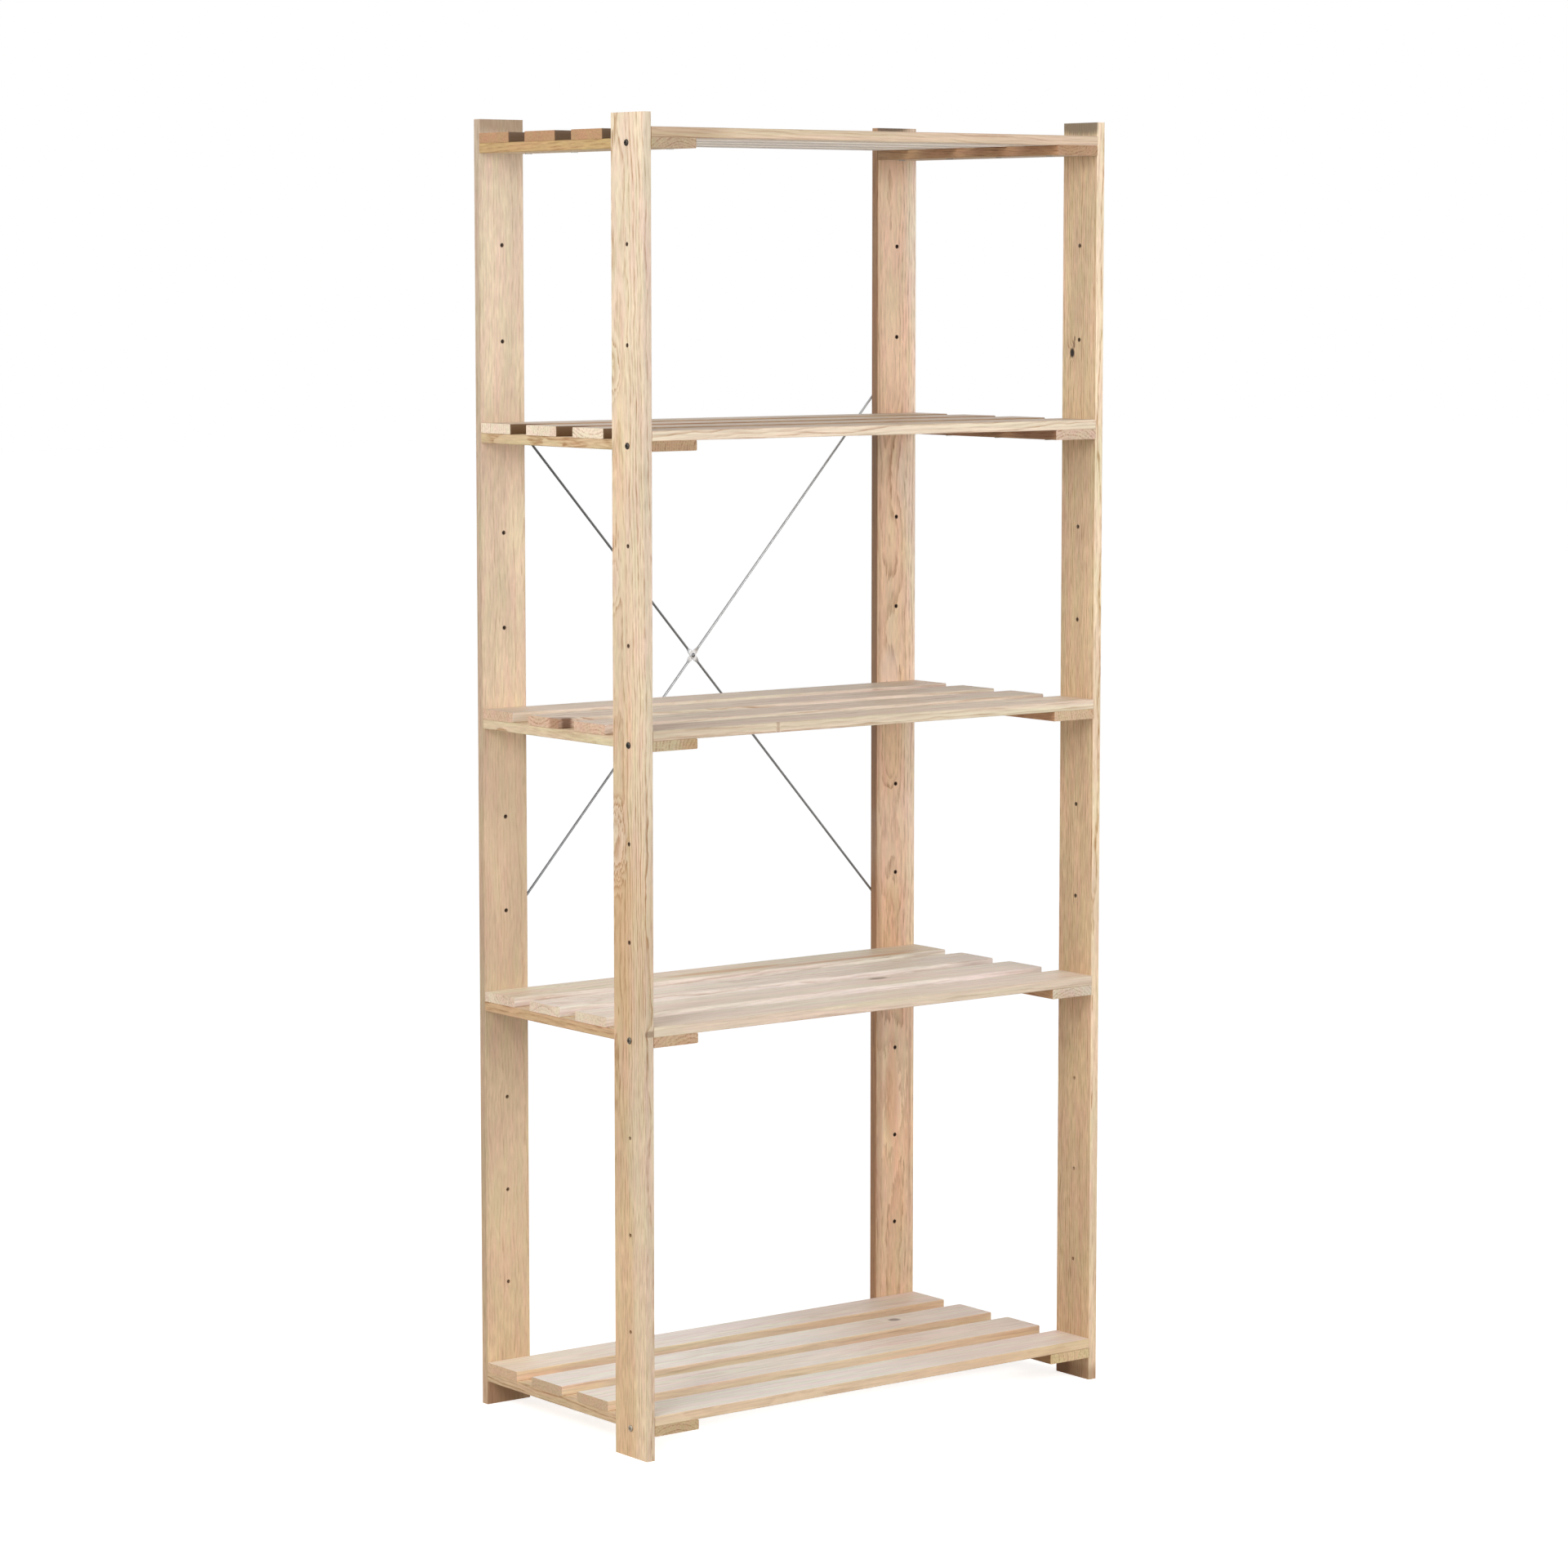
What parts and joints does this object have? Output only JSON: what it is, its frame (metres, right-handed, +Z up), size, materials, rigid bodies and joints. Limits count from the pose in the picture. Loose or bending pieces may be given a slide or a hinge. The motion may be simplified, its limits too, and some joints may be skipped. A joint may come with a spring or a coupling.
{
  "type": "shelving unit",
  "caption": "Open free-standing pine shelving unit: drilled uprights carry slatted shelves on end battens, and a riveted cross of thin steel rods braces the back.",
  "frame": {"origin": "middle of the boards' footprint, on the floor", "axes": "+X along the shelves to the right as seen from the front, +Y to the back, +Z up"},
  "size_m": [0.7604, 0.3984, 1.7],
  "materials": {
    "pine": "planed, unfinished softwood",
    "dark_steel": "dark phosphated steel",
    "bright_steel": "drawn steel wire",
    "zinc_steel": "zinc plated steel"
  },
  "bodies": {
    "root": {"brace_rivet": "zinc_steel", "brace_rod_back": "zinc_steel", "brace_rod_front": "zinc_steel", "brace_screws": "zinc_steel", "shelf_1_batten_left": "pine", "shelf_1_batten_right": "pine", "shelf_1_slat_1": "pine", "shelf_1_slat_2": "pine", "shelf_1_slat_3": "pine", "shelf_1_slat_4": "pine", "shelf_1_staples": "bright_steel", "shelf_2_batten_left": "pine", "shelf_2_batten_right": "pine", "shelf_2_slat_1": "pine", "shelf_2_slat_2": "pine", "shelf_2_slat_3": "pine", "shelf_2_slat_4": "pine", "shelf_2_staples": "bright_steel", "shelf_3_batten_left": "pine", "shelf_3_batten_right": "pine", "shelf_3_slat_1": "pine", "shelf_3_slat_2": "pine", "shelf_3_slat_3": "pine", "shelf_3_slat_4": "pine", "shelf_3_staples": "bright_steel", "shelf_4_batten_left": "pine", "shelf_4_batten_right": "pine", "shelf_4_slat_1": "pine", "shelf_4_slat_2": "pine", "shelf_4_slat_3": "pine", "shelf_4_slat_4": "pine", "shelf_4_staples": "bright_steel", "shelf_5_batten_left": "pine", "shelf_5_batten_right": "pine", "shelf_5_slat_1": "pine", "shelf_5_slat_2": "pine", "shelf_5_slat_3": "pine", "shelf_5_slat_4": "pine", "shelf_5_staples": "bright_steel", "shelf_screws_back_left": "dark_steel", "shelf_screws_back_right": "dark_steel", "shelf_screws_front_left": "dark_steel", "shelf_screws_front_right": "dark_steel", "upright_back_left": "pine", "upright_back_right": "pine", "upright_front_left": "pine", "upright_front_right": "pine"}
  },
  "joints": []
}
